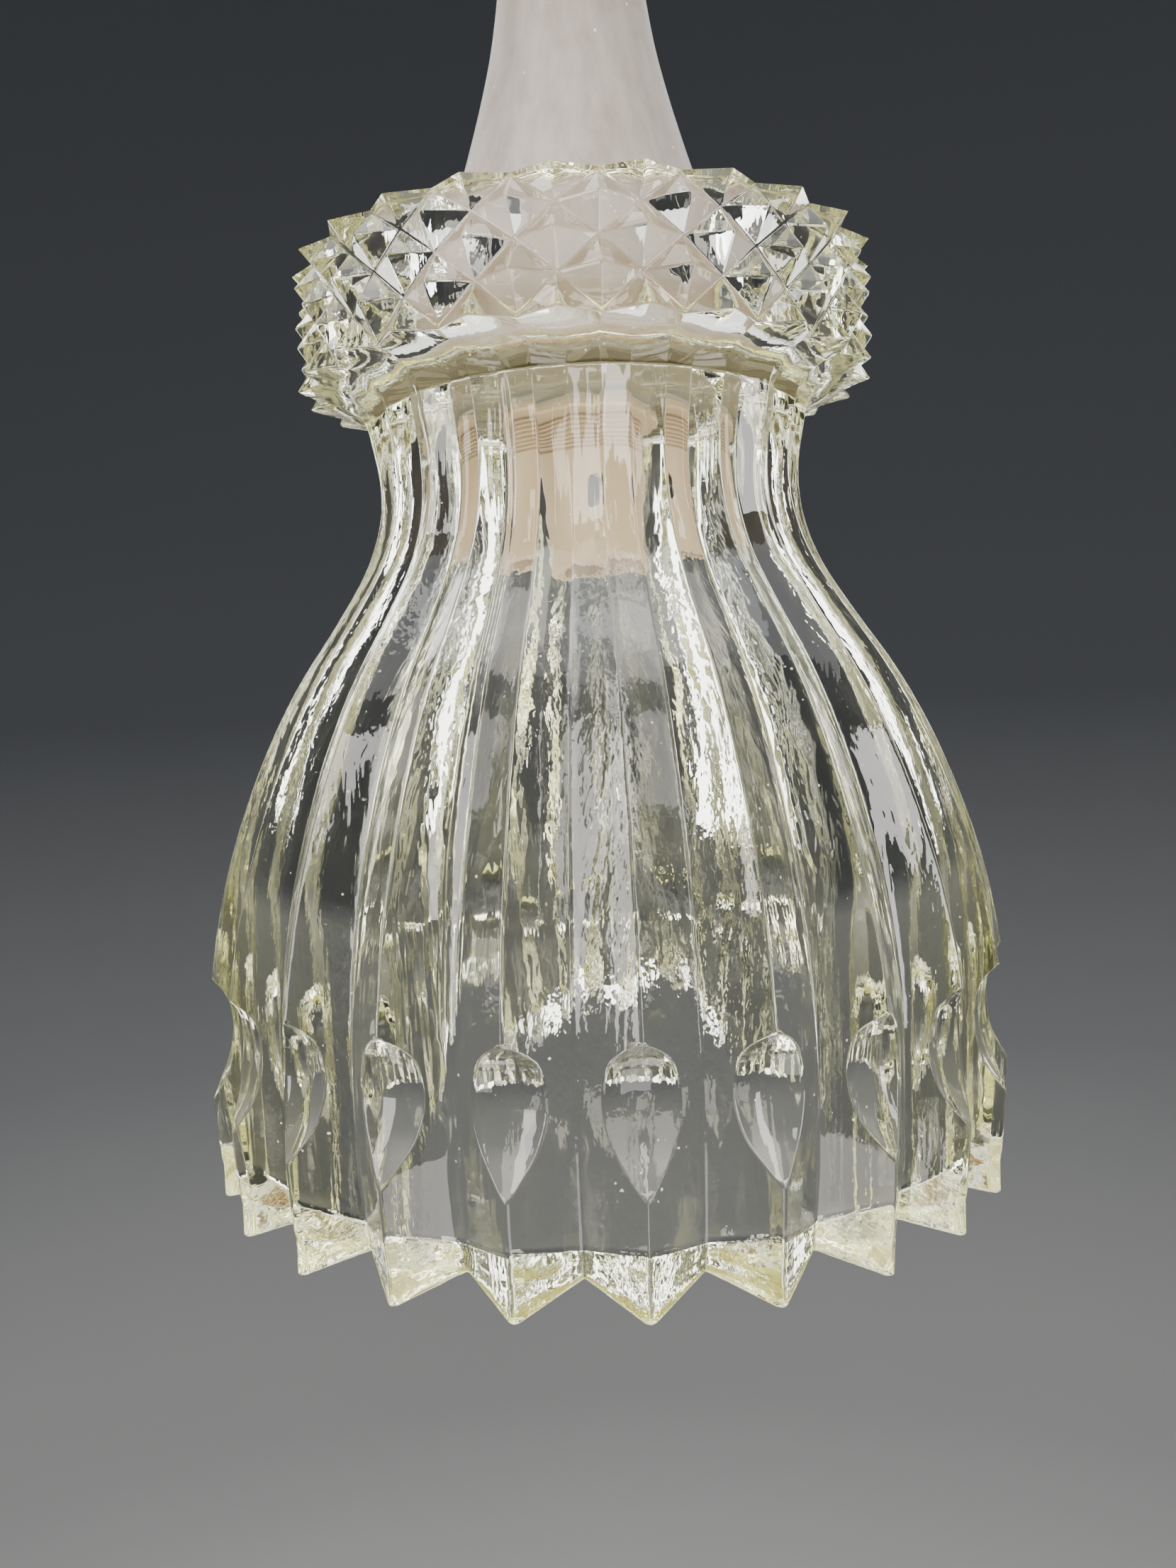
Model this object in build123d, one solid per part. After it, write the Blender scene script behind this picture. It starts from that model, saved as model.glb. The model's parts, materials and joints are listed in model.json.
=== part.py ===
from build123d import *
import math
import os

# Pendant ceiling light: a pressed-glass shade hung on an E27 lampholder, under a trumpet-shaped cover.
# Millimetres. The part's origin is the mouth of the cord grip, on the axis, and +Z is up. Heights below
# are measured from the level where the shade's ribs end, and write() moves each piece to the origin.

# ---- Driving dimensions -------------------------------------------------------------------------
ORIGIN_HEIGHT = 206.0        # the cord grip's mouth above the rib ends
RIBS = 24                    # vertical ribs round the shade, and pyramids round the band
RIB_STEP = 360.0 / RIBS

# Glass shade: (height, radius of the rib crests) from the rim to the foot of the band
RIB_CREST = [
    (-8.0, 84.3), (0.0, 85.0), (12.0, 85.9), (25.0, 85.8), (37.0, 84.9), (48.0, 83.1), (60.0, 80.1),
    (72.0, 76.0), (84.0, 70.9), (96.0, 64.4), (108.0, 56.3), (119.0, 49.6), (129.0, 46.1), (139.0, 45.4),
    (150.0, 47.2),
]
RIB_DEPTH_RIM = 8.0          # crest to valley at the rim
RIB_DEPTH_NECK = 2.2         # crest to valley at the neck
NECK_HEIGHT = 139.0
WALL_RIM = 5.5               # valley to the smooth inner wall at the rim
WALL_NECK = 2.6

TOOTH_HEIGHT = 8.0           # the rim's teeth, below the rib ends
NOTCH_HEIGHT = 3.8           # depth left between two teeth
TOOTH_FLAT = 2.0             # width of a tooth's blunt tip
BEVEL_INNER_RADIUS = 71.5    # the bevel inside the teeth
BEVEL_OUTER_RADIUS = 81.0

SPOON_AXIS_RADIUS = 94.0     # oval thumb cuts across each rib, turned about a vertical axis out here
SPOON_CURVE = [             # (height, radius) of the cutter, whose crossing with the rib is the egg-shaped cut
    (3.0, 0.0), (12.3, 8.1), (15.5, 10.2), (20.0, 12.9), (25.9, 14.4), (31.6, 14.0), (34.5, 12.6), (37.2, 9.1),
    (42.0, 0.0),
]

BAND_LEVELS = [180.8, 175.9, 170.3, 164.1, 157.5]     # groove crossings of the diamond band, top down
BAND_GROOVE_RADIUS = 56.8
BAND_PEAK_RADIUS = 61.3

DIAPHRAGM_BOTTOM, DIAPHRAGM_TOP = 154.0, 160.0        # the glass ledge between neck and upper bowl
SHADE_HOLE_RADIUS = 21.0
CEILING_RADIUS = 40.0
NECK_STRAIGHT_FROM = 138.0    # the inner wall is a plain cylinder from here up to the ledge
BOWL_FLOOR_RADIUS = 44.0
BOWL_MOUTH_RADIUS = 51.5

# Shade ring, its washer, and the disc on top of the ledge
RING_RADIUS = 24.6
RING_BOTTOM, RING_TOP = 151.2, 153.0
RING_CHAMFER = 0.5
RING_NOTCH_RADIUS = 1.6
WASHER_RADIUS = 24.0
WASHER_BORE_RADIUS = 20.6
WASHER_BOTTOM = 153.2
DISC_RADIUS = 39.4
DISC_THICKNESS = 1.2

# Lampholder
SKIRT_RADIUS = 20.0
SKIRT_BORE_RADIUS = 17.4
SKIRT_MOUTH = 118.0
SKIRT_COLLAR_BOTTOM, SKIRT_COLLAR_TOP = 144.5, 147.0
SKIRT_COLLAR_RADIUS = 15.6
SKIRT_NECK_RADIUS = 18.2
SKIRT_SHOULDER, SKIRT_TOP = 161.3, 171.0
THREAD_BOTTOM = 141.4
THREAD_PITCH = 1.3
THREAD_DEPTH = 0.7
WINDOW_ANGLE = 18.0          # azimuth of the latch window, from the front towards the right
WINDOW_HEIGHT = 132.6
WINDOW_WIDTH, WINDOW_LENGTH = 4.4, 6.8
LATCH_CLEARANCE = 0.7        # of the latch's tooth in its window, both sides together
CAP_RADIUS = 22.0
CAP_BOTTOM, CAP_TOP = 161.5, 188.0
CAP_CEILING = 184.0
INSERT_RADIUS = 16.9
INSERT_BOTTOM, INSERT_TOP = 147.0, 160.0
SHELL_MINOR_RADIUS = 12.45   # E27 screw shell, inside of the thread crests
SHELL_MAJOR_RADIUS = 13.4
SHELL_PITCH = 3.629
SHELL_TURNS = 5
SHELL_THREAD_TOP = 141.4
SHELL_WALL = 0.4
TERMINAL_OFFSET = 9.6
RIVET_OFFSET = 8.5
NIPPLE_RADIUS = 5.0
GRIP_RADIUS = 8.0
CORD_BORE_RADIUS = 3.6
GRIP_SCREW_HEIGHT = 202.0
FIT_GAP = 0.05               # between pieces that stay together
RUNNING_GAP = 0.08           # radial clearance of the shade ring on the thread

# Cover
COVER_WALL = 1.6
COVER_PROFILE = [(160.3, 42.0), (175.0, 35.4), (190.0, 29.2), (204.65, 24.0), (224.8, 18.4), (239.5, 15.8),
                 (260.0, 13.4), (280.0, 12.0), (300.0, 11.3)]
BUSH_FLANGE_RADIUS = 11.9
BUSH_LENGTH = 9.0


# ---- Helpers ------------------------------------------------------------------------------------
os.makedirs("parts", exist_ok=True)


def write(name, shape):
    """Moves a piece to the part's frame and writes it as its own STEP file."""
    placed = Pos(0, 0, -ORIGIN_HEIGHT) * shape
    placed.label = name
    export_step(placed, f"parts/{name}.step")


def tube(outer, inner, bottom, top):
    """A plain ring or sleeve on the vertical axis."""
    height = top - bottom
    solid = Pos(0, 0, (bottom + top) / 2) * Cylinder(outer, height)
    if inner > 0:
        solid -= Pos(0, 0, (bottom + top) / 2) * Cylinder(inner, height + 1)
    return solid


def turned(points):
    """Revolves a closed outline of (radius, height) points about the vertical axis."""
    outline = Polyline(*[(radius, 0, height) for radius, height in points], close=True)
    return revolve(make_face(outline), Axis.Z)


def polar(radius, azimuth, height):
    """A point at an azimuth in degrees from the front (-Y), positive towards +X."""
    angle = math.radians(azimuth)
    return (radius * math.sin(angle), -radius * math.cos(angle), height)


def facing(azimuth):
    """Turns a shape made along +X so that +X points at an azimuth from the front."""
    return Rot(0, 0, azimuth - 90)


def blend_by_height(height, rim_value, neck_value):
    share = min(max(height / NECK_HEIGHT, 0.0), 1.0)
    return rim_value + (neck_value - rim_value) * share


# ---- Glass shade --------------------------------------------------------------------------------
def valley_radius(height, crest):
    return crest - blend_by_height(height, RIB_DEPTH_RIM, RIB_DEPTH_NECK)


def star(height, crest, valley):
    """A 48-sided section: crests at every rib, valleys between them."""
    corners = []
    for rib in range(RIBS):
        corners.append(polar(crest, rib * RIB_STEP, height))
        corners.append(polar(valley, (rib + 0.5) * RIB_STEP, height))
    return corners


def ribbed_body():
    sections = []
    for height, crest in RIB_CREST:
        corners = star(height, crest, valley_radius(height, crest))
        sections.append(make_face(Polyline(*corners, close=True)))
    return loft(sections)


def triangle(a, b, c):
    return Face(Wire.make_polygon([Vector(*a), Vector(*b), Vector(*c)], close=True))


def diamond_band():
    """Staggered rows of four-sided pyramids, from the upper rim down to the ribbed neck."""
    def crossing(level, step):
        return polar(BAND_GROOVE_RADIUS, step * RIB_STEP, BAND_LEVELS[level])

    def peak(level, step):
        return polar(BAND_PEAK_RADIUS, step * RIB_STEP, BAND_LEVELS[level])

    last = len(BAND_LEVELS) - 1
    faces = []
    for level in range(last + 1):
        offset = 0.5 if level % 2 == 0 else 0.0
        for rib in range(RIBS):
            centre = rib + offset
            top = peak(level, centre)
            left, right = crossing(level, centre - 0.5), crossing(level, centre + 0.5)
            if level > 0:
                above = crossing(level - 1, centre)
                faces.append(triangle(top, left, above))
                faces.append(triangle(top, above, right))
            if level < last:
                below = crossing(level + 1, centre)
                faces.append(triangle(top, below, left))
                faces.append(triangle(top, right, below))

    neck_height, neck_crest = RIB_CREST[-1]
    neck_valley = valley_radius(neck_height, neck_crest)
    for rib in range(RIBS):
        for side in (-1, 1):
            valley_step = rib + 0.5 * side
            crest_foot = polar(neck_crest, rib * RIB_STEP, neck_height)
            valley_foot = polar(neck_valley, valley_step * RIB_STEP, neck_height)
            faces.append(triangle(crossing(last, rib), peak(last, valley_step), crest_foot))
            faces.append(triangle(peak(last, valley_step), valley_foot, crest_foot))
    upper = []
    for rib in range(RIBS):
        upper.append(crossing(0, rib))
        upper.append(peak(0, rib + 0.5))
    faces.append(make_face(Polyline(*upper, close=True)).faces()[0])
    faces.append(make_face(Polyline(*star(neck_height, neck_crest, neck_valley), close=True)).faces()[0])
    return Solid(Shell(faces))


def glass_cavity():
    """The lower cavity, the hole for the lampholder and the upper bowl, as one turned shape."""
    wall_points = []
    for height, crest in RIB_CREST[1:-2]:
        radius = valley_radius(height, crest) - blend_by_height(height, WALL_RIM, WALL_NECK)
        wall_points.append((radius, 0, height))
    wall_points[0] = (BEVEL_INNER_RADIUS, 0, 0)
    wall_points.append((CEILING_RADIUS, 0, NECK_STRAIGHT_FROM))
    wall = Spline(*wall_points)
    last = wall_points[-1]
    bowl = Polyline(
        last,
        (CEILING_RADIUS, 0, DIAPHRAGM_BOTTOM),
        (SHADE_HOLE_RADIUS, 0, DIAPHRAGM_BOTTOM),
        (SHADE_HOLE_RADIUS, 0, DIAPHRAGM_TOP),
        (BOWL_FLOOR_RADIUS, 0, DIAPHRAGM_TOP),
        (50.0, 0, 166.0),
        (BOWL_MOUTH_RADIUS, 0, 182.0),
        (0, 0, 182.0),
        (0, 0, -TOOTH_HEIGHT - 1),
    )
    slope = (BEVEL_OUTER_RADIUS - BEVEL_INNER_RADIUS) / TOOTH_HEIGHT
    bevel = Polyline(
        (0, 0, -TOOTH_HEIGHT - 1),
        (BEVEL_OUTER_RADIUS + slope, 0, -TOOTH_HEIGHT - 1),
        (BEVEL_INNER_RADIUS, 0, 0),
    )
    return revolve(make_face([wall, bowl, bevel]), Axis.Z)


def spoon_cutter():
    side = Spline(*[(radius, 0, height) for height, radius in SPOON_CURVE])
    axis = Line((0, 0, SPOON_CURVE[-1][0]), (0, 0, SPOON_CURVE[0][0]))
    return Pos(SPOON_AXIS_RADIUS, 0, 0) * revolve(make_face([side, axis]), Axis.Z)


def notch_cutter():
    """The V between two teeth, run through the wall."""
    half_gap = SHADE_RIM_PITCH / 2 - TOOTH_FLAT / 2
    drop = TOOTH_HEIGHT - NOTCH_HEIGHT
    reach = 1.4
    outline = Polyline((60, -half_gap * reach, -NOTCH_HEIGHT - drop * reach), (60, 0, -NOTCH_HEIGHT),
                       (60, half_gap * reach, -NOTCH_HEIGHT - drop * reach), close=True)
    return extrude(make_face(outline), amount=30, dir=(1, 0, 0))


SHADE_RIM_PITCH = 2 * math.pi * RIB_CREST[0][1] / RIBS


def glass_shade():
    body = ribbed_body() + diamond_band()
    body -= glass_cavity()
    cutters = []
    for rib in range(RIBS):
        cutters.append(facing(rib * RIB_STEP) * spoon_cutter())
        cutters.append(facing((rib + 0.5) * RIB_STEP) * notch_cutter())
    return body - cutters


# ---- Shade fixings ------------------------------------------------------------------------------
def shade_ring():
    """A thin threaded ring that carries the shade, notched for the fingers."""
    bore = SKIRT_RADIUS + RUNNING_GAP
    ring = turned([
        (bore, RING_BOTTOM), (RING_RADIUS - RING_CHAMFER, RING_BOTTOM), (RING_RADIUS, RING_BOTTOM + RING_CHAMFER),
        (RING_RADIUS, RING_TOP), (bore, RING_TOP),
    ])
    notch = Pos(RING_RADIUS + RING_NOTCH_RADIUS / 2, 0, RING_TOP) * Cylinder(RING_NOTCH_RADIUS, 6)
    return ring - [facing(90 * k + 45) * notch for k in range(4)]


def lower_washer():
    return tube(WASHER_RADIUS, WASHER_BORE_RADIUS, WASHER_BOTTOM, DIAPHRAGM_BOTTOM)


def upper_disc():
    """A stiff disc on the glass ledge, under the lampholder's cap."""
    return tube(DISC_RADIUS, WASHER_BORE_RADIUS, DIAPHRAGM_TOP, DIAPHRAGM_TOP + DISC_THICKNESS)


# ---- Cover --------------------------------------------------------------------------------------
def canopy_cover():
    outer = Spline(*[(radius, 0, height) for height, radius in COVER_PROFILE])
    inner = Spline(*[(radius - COVER_WALL, 0, height) for height, radius in reversed(COVER_PROFILE)])
    foot_height, foot_radius = COVER_PROFILE[0]
    top_height, top_radius = COVER_PROFILE[-1]
    foot = Line((foot_radius - COVER_WALL, 0, foot_height), (foot_radius, 0, foot_height))
    top = Line((top_radius, 0, top_height), (top_radius - COVER_WALL, 0, top_height))
    return revolve(make_face([foot, outer, top, inner]), Axis.Z)


def cover_bush():
    top_height, top_radius = COVER_PROFILE[-1]
    body = tube(top_radius - COVER_WALL - FIT_GAP, CORD_BORE_RADIUS, top_height - BUSH_LENGTH, top_height)
    flange = tube(BUSH_FLANGE_RADIUS, CORD_BORE_RADIUS, top_height, top_height + 2.2)
    flange = chamfer(flange.edges().filter_by(GeomType.CIRCLE).group_by(Axis.Z)[-1].sort_by(SortBy.RADIUS)[-1], 0.8)
    return body + flange


# ---- Lampholder ---------------------------------------------------------------------------------
def holder_skirt():
    outline = [
        (SKIRT_BORE_RADIUS, SKIRT_MOUTH + 0.6), (SKIRT_BORE_RADIUS + 0.6, SKIRT_MOUTH),
        (SKIRT_RADIUS - 0.8, SKIRT_MOUTH), (SKIRT_RADIUS, SKIRT_MOUTH + 0.8), (SKIRT_RADIUS, THREAD_BOTTOM),
    ]
    height = THREAD_BOTTOM
    while height + THREAD_PITCH < SKIRT_SHOULDER:
        outline.append((SKIRT_RADIUS - THREAD_DEPTH, height + 0.25 * THREAD_PITCH))
        outline.append((SKIRT_RADIUS - THREAD_DEPTH, height + 0.4 * THREAD_PITCH))
        outline.append((SKIRT_RADIUS, height + 0.65 * THREAD_PITCH))
        outline.append((SKIRT_RADIUS, height + THREAD_PITCH))
        height += THREAD_PITCH
    outline += [
        (SKIRT_RADIUS, SKIRT_SHOULDER), (SKIRT_NECK_RADIUS, SKIRT_SHOULDER), (SKIRT_NECK_RADIUS, SKIRT_TOP),
        (INSERT_RADIUS + FIT_GAP, SKIRT_TOP), (INSERT_RADIUS + FIT_GAP, SKIRT_COLLAR_TOP),
        (SKIRT_COLLAR_RADIUS, SKIRT_COLLAR_TOP), (SKIRT_COLLAR_RADIUS, SKIRT_COLLAR_BOTTOM),
        (SKIRT_BORE_RADIUS, SKIRT_COLLAR_BOTTOM),
    ]
    skirt = turned(outline)
    window = extrude(SlotOverall(WINDOW_LENGTH, WINDOW_WIDTH, rotation=90), amount=8)
    window = Plane((SKIRT_RADIUS - 6, 0, WINDOW_HEIGHT), x_dir=(0, 1, 0), z_dir=(1, 0, 0)) * window
    return skirt - facing(WINDOW_ANGLE) * window


def skirt_latch():
    """The sprung tooth that stops the skirt from unscrewing, seen in the skirt's window."""
    tooth = extrude(SlotOverall(WINDOW_LENGTH - LATCH_CLEARANCE, WINDOW_WIDTH - LATCH_CLEARANCE, rotation=90), amount=1.8)
    tooth = Plane((16.9, 0, WINDOW_HEIGHT), x_dir=(0, 1, 0), z_dir=(1, 0, 0)) * tooth
    strip = Pos(16.5, 0, (129.0 + 144.1) / 2) * Box(0.8, 4.0, 144.1 - 129.0)
    return facing(WINDOW_ANGLE) * (strip + tooth)


def holder_cap():
    outline = [
        (SKIRT_NECK_RADIUS + FIT_GAP, CAP_BOTTOM), (CAP_RADIUS, CAP_BOTTOM), (CAP_RADIUS, 178.0),
        (20.6, 183.5), (16.5, 187.0), (12.0, CAP_TOP), (NIPPLE_RADIUS + FIT_GAP, CAP_TOP),
        (NIPPLE_RADIUS + FIT_GAP, CAP_CEILING), (15.0, CAP_CEILING), (SKIRT_NECK_RADIUS + FIT_GAP, 180.0),
    ]
    cap = turned(outline)
    flutes = [facing(k * 15) * Pos(CAP_RADIUS + 0.9, 0, 170) * Cylinder(1.5, 17) for k in range(24)]
    return cap - flutes


def holder_insert():
    insert = tube(INSERT_RADIUS, 0, INSERT_BOTTOM, INSERT_TOP)
    insert -= Pos(-RIVET_OFFSET, 0, 153) * Cylinder(1.3, 20)
    insert -= Pos(13.2, 0, 153) * Box(1.0, 6.0, 20)
    for side in (-1, 1):
        insert -= Pos(0, side * 17, 153) * Cylinder(2.2, 20)
    insert -= Pos(0, 0, INSERT_TOP) * Box(6.0, 26.0, 6.0)
    return insert


def edison_shell():
    """The E27 screw shell: rolled crests inside, a folded rim on top and one ear up to its terminal."""
    inside = [(SHELL_MAJOR_RADIUS, INSERT_BOTTOM - 0.6)]
    height = SHELL_THREAD_TOP
    for _ in range(SHELL_TURNS):
        inside.append((SHELL_MAJOR_RADIUS, height))
        inside.append((SHELL_MINOR_RADIUS, height - 0.35 * SHELL_PITCH))
        inside.append((SHELL_MINOR_RADIUS, height - 0.65 * SHELL_PITCH))
        height -= SHELL_PITCH
    inside.append((SHELL_MAJOR_RADIUS, height))
    outside = [(radius + SHELL_WALL, level) for radius, level in reversed(inside[1:])]
    rim = [(SHELL_MAJOR_RADIUS + SHELL_WALL, INSERT_BOTTOM), (11.2, INSERT_BOTTOM), (11.2, INSERT_BOTTOM - 0.6)]
    shell = turned(inside + outside + rim)
    ear = Pos(13.2, 0, (INSERT_BOTTOM - 0.3 + 166.0) / 2) * Box(0.8, 5.6, 166.0 - INSERT_BOTTOM + 0.3)
    return shell + ear


def centre_contact():
    """A springy strip under the insert, bent down from its rivet to the cap of the lamp."""
    side = [(-10.4, 146.4), (-7.0, 146.4), (-1.5, 142.2), (3.2, 142.2), (3.2, 141.6), (-1.7, 141.6),
            (-7.2, 145.8), (-10.4, 145.8)]
    strip = extrude(make_face(Polyline(*[(x, -2.6, z) for x, z in side], close=True)), amount=5.2, dir=(0, 1, 0))
    strip -= Pos(-RIVET_OFFSET, 0, 146) * Cylinder(1.6, 3)
    return strip


def contact_rivet():
    shank = Pos(-RIVET_OFFSET, 0, (145.2 + 162.5) / 2) * Cylinder(1.2, 162.5 - 145.2)
    head = Pos(-RIVET_OFFSET, 0, 144.8) * Cylinder(2.0, 0.8)
    return shank + head


def terminal(offset):
    block = Pos(offset, 0, (INSERT_TOP + 168.0) / 2) * Box(6.4, 8.0, 168.0 - INSERT_TOP)
    block -= Pos(offset, 0, 163.4) * Rot(90, 0, 0) * Cylinder(1.3, 12)
    block -= Pos(offset, 0, 167) * Cylinder(1.5, 6)
    return block


def live_terminal():
    return terminal(-TERMINAL_OFFSET) - Pos(-RIVET_OFFSET, 0, 160) * Cylinder(1.2 + FIT_GAP, 5.1)


def neutral_terminal():
    return terminal(TERMINAL_OFFSET)


def slotted_screw(head_radius, head_height, shank_radius, shank_length):
    """A screw on the vertical axis, its head's underside at zero."""
    screw = Pos(0, 0, head_height / 2) * Cylinder(head_radius, head_height)
    screw += Pos(0, 0, -shank_length / 2) * Cylinder(shank_radius, shank_length)
    return screw - Pos(0, 0, head_height) * Box(2.5 * head_radius, 0.7, head_height)


def terminal_screws():
    screw = slotted_screw(2.4, 1.8, 1.45, 3.2)
    return Compound([Pos(side * TERMINAL_OFFSET, 0, 168.0) * screw for side in (-1, 1)])


def cord_nipple():
    return tube(NIPPLE_RADIUS, 3.8, 179.5, 198.0)


def nipple_nut():
    nut = extrude(RegularPolygon(7.5, 6), amount=3.2)
    nut -= Cylinder(NIPPLE_RADIUS + FIT_GAP, 10)
    return Pos(0, 0, CAP_CEILING - 3.2) * nut


def cord_grip():
    outline = [
        (NIPPLE_RADIUS + FIT_GAP, CAP_TOP), (GRIP_RADIUS, CAP_TOP), (GRIP_RADIUS, ORIGIN_HEIGHT - 2.0),
        (GRIP_RADIUS - 2.0, ORIGIN_HEIGHT), (CORD_BORE_RADIUS, ORIGIN_HEIGHT), (CORD_BORE_RADIUS, 198.1),
        (NIPPLE_RADIUS + FIT_GAP, 198.1),
    ]
    return turned(outline) - Pos(7, 0, GRIP_SCREW_HEIGHT) * Rot(0, 90, 0) * Cylinder(1.6, 8)


def cord_grip_screw():
    screw = slotted_screw(2.6, 1.8, 1.55, 4.2)
    return Pos(GRIP_RADIUS, 0, GRIP_SCREW_HEIGHT) * Rot(0, 90, 0) * screw


# ---- Write every piece --------------------------------------------------------------------------
PIECES = [
    glass_shade, shade_ring, lower_washer, upper_disc, canopy_cover, cover_bush, holder_skirt, skirt_latch,
    holder_cap, holder_insert, edison_shell, centre_contact, contact_rivet, live_terminal, neutral_terminal,
    terminal_screws, cord_nipple, nipple_nut, cord_grip, cord_grip_screw,
]
for piece in PIECES:
    write(piece.__name__, piece())
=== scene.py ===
import json
import math

import bmesh
import bpy
from mathutils import Matrix, Vector, noise


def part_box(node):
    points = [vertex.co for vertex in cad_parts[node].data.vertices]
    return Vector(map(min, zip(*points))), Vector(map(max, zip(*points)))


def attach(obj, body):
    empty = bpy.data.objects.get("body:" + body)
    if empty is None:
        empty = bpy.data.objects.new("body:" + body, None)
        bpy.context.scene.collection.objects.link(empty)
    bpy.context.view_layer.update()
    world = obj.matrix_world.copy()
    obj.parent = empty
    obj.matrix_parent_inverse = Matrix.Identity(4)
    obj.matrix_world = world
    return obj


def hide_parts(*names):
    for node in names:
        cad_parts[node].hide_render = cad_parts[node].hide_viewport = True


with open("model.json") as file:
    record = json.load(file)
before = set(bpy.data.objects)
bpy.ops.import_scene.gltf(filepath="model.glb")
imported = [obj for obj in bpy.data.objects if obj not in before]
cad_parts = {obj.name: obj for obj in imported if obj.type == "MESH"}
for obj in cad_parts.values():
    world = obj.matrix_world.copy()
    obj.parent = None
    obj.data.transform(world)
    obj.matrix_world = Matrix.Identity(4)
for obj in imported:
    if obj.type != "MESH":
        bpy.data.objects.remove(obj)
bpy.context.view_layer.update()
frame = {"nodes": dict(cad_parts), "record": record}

# ---- Dimensions, in millimetres above the level where the shade's ribs end ----------------------
MM = 0.001
TOOTH_HEIGHT = 8.0
RIM_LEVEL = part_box("glass_shade")[0][2] + TOOTH_HEIGHT * MM

RIBS = 24
RIB_STEP = 360.0 / RIBS
HALF_STEP = RIB_STEP / 2

CREST_CURVE = [
    (-8.0, 84.3), (0.0, 85.0), (12.0, 85.9), (25.0, 85.8), (37.0, 84.9), (48.0, 83.1), (60.0, 80.1),
    (72.0, 76.0), (84.0, 70.9), (96.0, 64.4), (108.0, 56.3), (119.0, 49.6), (129.0, 46.1), (139.0, 45.4),
    (150.0, 47.2),
]
NECK_HEIGHT = 139.0
RIB_DEPTH = (8.0, 2.2)            # crest to valley, at the rim and at the neck
WALL = (5.5, 2.6)                 # valley to inner wall, at the rim and at the neck
CREST_ROUNDING = 0.22             # degrees over which a crest or valley is rounded
VALLEY_ROUNDING = 0.2

SPOON_AXIS = 94.0
SPOON_CURVE = [(3.0, 0.0), (12.3, 8.1), (15.5, 10.2), (20.0, 12.9), (25.9, 14.4), (31.6, 14.0), (34.5, 12.6),
               (37.2, 9.1), (42.0, 0.0)]
NARROWEST_SPOON = 0.6             # degrees, the width that the crest's own columns keep elsewhere

NOTCH_HEIGHT = 3.8
TOOTH_FLAT = 2.0
BEVEL_RADII = (71.5, 81.0)        # inside the teeth, at the ribs' end and at the tips

SHADE_MIDDLE = 90.0               # what the lights aim at
BAND_LEVELS = [180.8, 175.9, 170.3, 164.1, 157.5]
BAND_GROOVE = 56.8
BAND_PEAK = 61.2
DIAPHRAGM = (154.0, 160.0)
HOLDER_HOLE = 21.0
CEILING_RADIUS = 40.0

COVER_CURVE = [(160.3, 42.0), (175.0, 35.4), (190.0, 29.2), (204.65, 24.0), (224.8, 18.4), (239.5, 15.8),
               (260.0, 13.4), (280.0, 12.0), (300.0, 11.3)]
COVER_WALL = 1.6
COVER_SIDES = 128
HEM_RADIUS = 39.6                 # the cover's foot is turned in to here, just outside the upper disc
HEM_HEIGHT = 1.3
GRIME_AND_SHADE_TOP = 186.0                 # the cover's foot is painted brown, dirt and painted shade together, fading out up to here


# ---- Small geometry helpers ---------------------------------------------------------------------
def smooth_curve(points, x):
    """Catmull-Rom value at x through (x, y) points that run upwards in x."""
    last = len(points) - 1
    span = 0
    while span < last - 1 and x > points[span + 1][0]:
        span += 1
    x1, y1 = points[span]
    x2, y2 = points[span + 1]
    x0, y0 = points[max(span - 1, 0)]
    x3, y3 = points[min(span + 2, last)]
    slope1 = (y2 - y0) / (x2 - x0)
    slope2 = (y3 - y1) / (x3 - x1)
    width = x2 - x1
    t = (x - x1) / width
    h1 = (1 + 2 * t) * (1 - t) ** 2
    h2 = t * t * (3 - 2 * t)
    h3 = t * (1 - t) ** 2
    h4 = t * t * (t - 1)
    return h1 * y1 + h2 * y2 + width * (h3 * slope1 + h4 * slope2)


def mix(a, b, t):
    return a + (b - a) * t


def by_height(pair, height):
    return mix(pair[0], pair[1], min(max(height / NECK_HEIGHT, 0.0), 1.0))


def at(radius, azimuth, height):
    """A point in metres: radius and height in millimetres, azimuth in degrees from -Y towards +X."""
    angle = math.radians(azimuth)
    return Vector((radius * math.sin(angle) * MM, -radius * math.cos(angle) * MM, RIM_LEVEL + height * MM))


def azimuth_of(vert):
    return math.degrees(math.atan2(vert.co.x, -vert.co.y)) % 360.0


def ring(bm, points):
    return [bm.verts.new(point) for point in points]


def circle(bm, radius, height, count):
    return ring(bm, [at(radius, 360.0 * k / count, height) for k in range(count)])


def bridge(bm, upper, lower):
    """Quads between two rings with the same number of points."""
    count = len(upper)
    for k in range(count):
        n = (k + 1) % count
        bm.faces.new((upper[k], lower[k], lower[n], upper[n]))


def zip_rings(bm, upper, lower):
    """Triangles between two rings of any counts, matched by azimuth."""
    upper = sorted(upper, key=azimuth_of)
    lower = sorted(lower, key=azimuth_of)
    up_angles = [azimuth_of(v) for v in upper] + [360.0 + azimuth_of(upper[0])]
    low_angles = [azimuth_of(v) for v in lower] + [360.0 + azimuth_of(lower[0])]
    i = j = 0
    while i < len(upper) or j < len(lower):
        a = upper[i % len(upper)]
        b = lower[j % len(lower)]
        step_upper = j == len(lower) or (i < len(upper) and up_angles[i + 1] <= low_angles[j + 1])
        if step_upper:
            bm.faces.new((a, b, upper[(i + 1) % len(upper)]))
            i += 1
        else:
            bm.faces.new((a, b, lower[(j + 1) % len(lower)]))
            j += 1


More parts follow.
